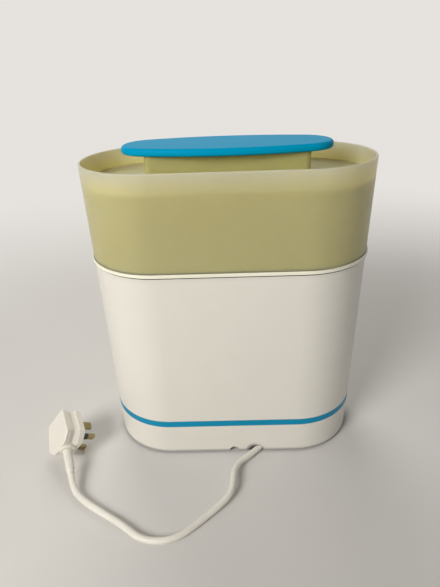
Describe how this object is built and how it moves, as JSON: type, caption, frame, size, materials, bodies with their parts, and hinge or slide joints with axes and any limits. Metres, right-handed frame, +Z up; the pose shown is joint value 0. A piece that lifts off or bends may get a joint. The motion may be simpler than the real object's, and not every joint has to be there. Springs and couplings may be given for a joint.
{
  "type": "steam sterilizer",
  "caption": "Electric steam sterilizer: white base with heating plate, tall and small lift-off baskets, cloudy flared lid with blue cap, and a mains lead with a three-pin plug.",
  "frame": {"origin": "on the table under the middle of the unit, without the lead and its plug", "axes": "+Z up, -Y the front, +X to the right of a person who faces the front"},
  "size_m": [0.3731, 0.2693, 0.3464],
  "materials": {
    "white_shell": "smooth moulded polypropylene, satin gloss",
    "white_cover": "fine spark texture",
    "foot_rubber": "matt",
    "screw_steel": "zinc plated",
    "blue_trim": "gloss",
    "seal_rubber": "silicone",
    "brushed_plate": "brushed",
    "cast_aluminium": "cast",
    "element_steel": "heat tinted",
    "dark_plastic": "glass filled",
    "green_board": "laminate",
    "clear_lens": "clear",
    "lead_copper_sheath": "insulated wire",
    "cord_sheath": "smooth flexible sheath",
    "plug_plastic": "moulded",
    "pin_brass": "drawn",
    "button_plastic": "gloss",
    "cream_plastic": "smooth",
    "cloudy_lid": "yellowed translucent polypropylene",
    "blue_cap": "gloss"
  },
  "bodies": {
    "base": {"base_housing": "white_shell", "bottom_cover": "white_cover", "feet": "foot_rubber", "cover_screws": "screw_steel", "trim_ring": "blue_trim", "water_pan": "white_cover", "plate_gasket": "seal_rubber", "heating_plate": "brushed_plate", "heat_spreader": "cast_aluminium", "heating_element": "element_steel", "thermostat": "dark_plastic", "thermal_fuse": "screw_steel", "switch_board": "green_board", "touch_switch": "dark_plastic", "indicator_lens": "clear_lens", "cord_gland": "cord_sheath", "terminal_block": "dark_plastic", "inner_leads": "lead_copper_sheath", "mains_cord": "cord_sheath", "plug_body": "plug_plastic", "earth_pin": "pin_brass", "live_pins": "pin_brass", "pin_sleeves": "dark_plastic", "plug_boot": "cord_sheath"},
    "power_button": {"power_button": "button_plastic"},
    "large_basket": {"large_basket": "white_shell", "drain_grid": "white_cover", "bottle_pegs": "white_cover"},
    "small_basket": {"small_basket": "cream_plastic"},
    "small_plate": {"small_plate": "cream_plastic"},
    "lid": {"lid": "cloudy_lid", "lid_neck": "cloudy_lid", "lid_cap": "blue_cap"}
  },
  "joints": [
    {"name": "large_basket_lift", "type": "slide", "parent": "base", "child": "large_basket", "axis": [0, 0, 1], "range_m": [0, 0.08]},
    {"name": "small_basket_lift", "type": "slide", "parent": "large_basket", "child": "small_basket", "axis": [0, 0, 1], "range_m": [0, 0.1]},
    {"name": "small_plate_lift", "type": "slide", "parent": "small_basket", "child": "small_plate", "axis": [0, 0, 1], "range_m": [0, 0.06]},
    {"name": "lid_lift", "type": "slide", "parent": "small_basket", "child": "lid", "axis": [0, 0, 1], "range_m": [0, 0.12]},
    {"name": "button_press", "type": "slide", "parent": "base", "child": "power_button", "axis": [0, -1, 0], "range_m": [0, 0.0015], "stiffness_N_per_m": 600}
  ]
}
